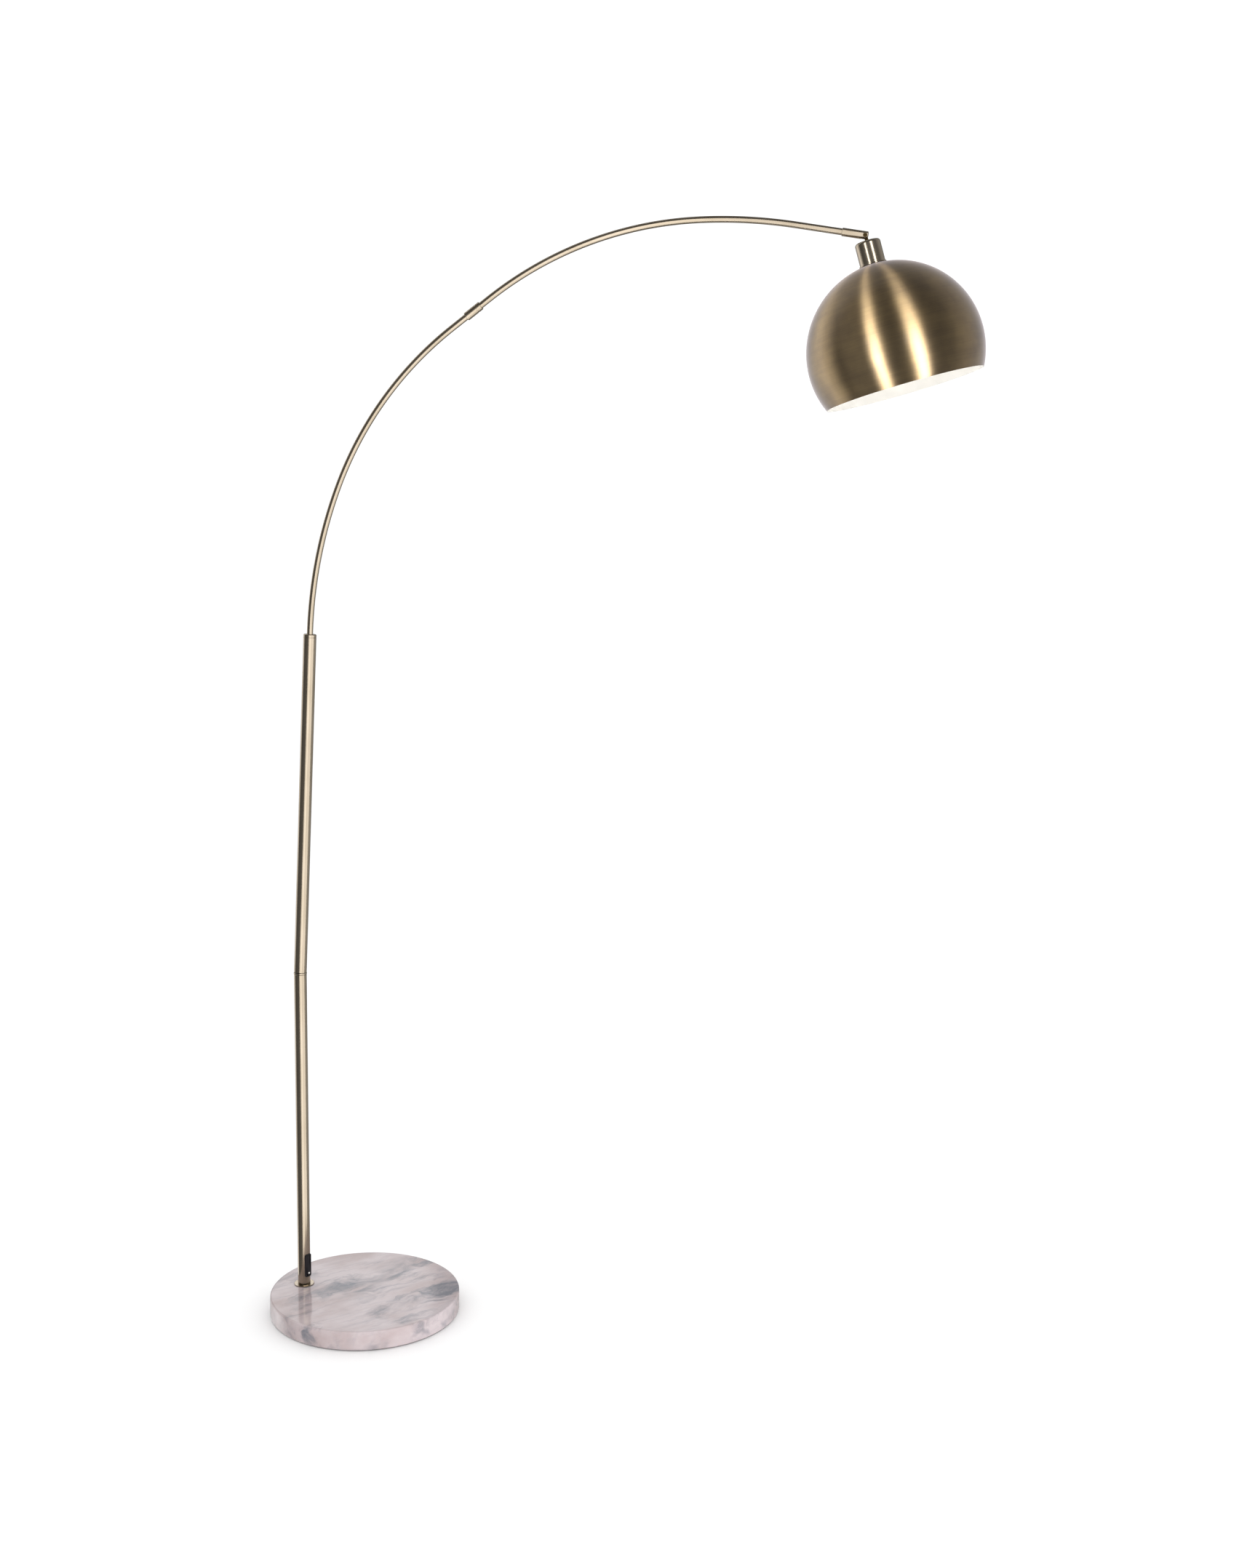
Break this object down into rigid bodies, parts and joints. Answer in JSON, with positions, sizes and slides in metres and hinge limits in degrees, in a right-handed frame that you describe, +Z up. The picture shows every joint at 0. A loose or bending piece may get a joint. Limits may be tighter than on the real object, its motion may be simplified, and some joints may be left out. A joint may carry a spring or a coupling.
{
  "type": "arc floor lamp",
  "caption": "Arc floor lamp: round marble foot, jointed brass pole, slim bowed arm that turns at the pole, and a tilting dome shade with a rocker switch low on the pole.",
  "frame": {"origin": "centre of the foot's underside, on the floor", "axes": "+Z up, +X the way the arm reaches, +Y to the left of it"},
  "size_m": [1.0678, 0.302, 1.6993],
  "materials": {
    "marble": "polished, soft grey and mauve veins",
    "felt": "needle felt pad",
    "pole_brass": "satin antique brass",
    "arm_brass": "satin antique brass",
    "shade_brass": "circumferentially brushed antique brass, white inside",
    "steel": "zinc plated",
    "contact_brass": "plain",
    "black_plastic": "semi-gloss",
    "white_plastic": "moulded",
    "nylon": "natural",
    "porcelain": "glazed",
    "bulb_metal": "plain",
    "opal_glass": "opal",
    "flex_rubber": "matt"
  },
  "bodies": {
    "base": {"marble_base": "marble", "underside_felt": "felt", "cord_outlet_bush": "flex_rubber", "foot_collar": "pole_brass", "base_stud": "steel", "base_washer": "steel", "base_lock_washer": "steel", "base_nut": "steel", "pole_lower_tube": "pole_brass", "pole_foot_insert": "steel", "pole_lower_insert": "steel", "pole_joint_ring": "pole_brass", "pole_joint_nipple": "steel", "pole_upper_insert": "steel", "pole_upper_tube": "pole_brass", "pole_top_bush": "pole_brass", "arm_set_screw": "steel", "lead_inlet": "flex_rubber", "lead_pole": "flex_rubber", "switch_bezel": "black_plastic", "switch_body": "black_plastic", "switch_terminal_feed": "contact_brass", "switch_terminal_load": "contact_brass", "switch_contact": "contact_brass", "switch_pin": "steel"},
    "rocker": {"switch_rocker": "black_plastic", "switch_mark": "white_plastic"},
    "arm": {"arm_lower_tube": "arm_brass", "arm_upper_tube": "arm_brass", "arm_foot_bush": "nylon", "lead_arm": "flex_rubber", "arm_joint_sleeve": "arm_brass", "arm_joint_spigot": "steel", "arm_joint_screw": "steel", "tip_ferrule": "arm_brass", "tilt_screw": "arm_brass", "tilt_nut": "arm_brass", "tilt_washer_near": "nylon", "tilt_washer_far": "nylon"},
    "head": {"swivel_tongue": "arm_brass", "lead_head": "flex_rubber", "lamp_cup": "shade_brass", "cup_lock_nut": "steel", "shade_washer": "steel", "shade_nut": "steel", "holder_cap": "white_plastic", "holder_block": "porcelain", "holder_contact": "contact_brass", "holder_liner": "contact_brass", "holder_skirt": "white_plastic", "holder_clamp_ring": "white_plastic", "bulb_cap": "bulb_metal", "bulb_globe": "opal_glass", "shade": "shade_brass"}
  },
  "joints": [
    {"name": "arm_turn", "type": "hinge", "parent": "base", "child": "arm", "pos_m": [-0.08183, 0, 1.08852], "axis": [0.0422, 0, 0.9991], "range_deg": [-45, 45]},
    {"name": "shade_tilt", "type": "hinge", "parent": "arm", "child": "head", "pos_m": [0.74485, 0, 1.67041], "axis": [0, 1, 0], "range_deg": [-45, 25]},
    {"name": "rocker_press", "type": "hinge", "parent": "base", "child": "rocker", "pos_m": [-0.10165, -0.00145, 0.066], "axis": [0.454, 0.891, 0], "range_deg": [0, 8]}
  ]
}
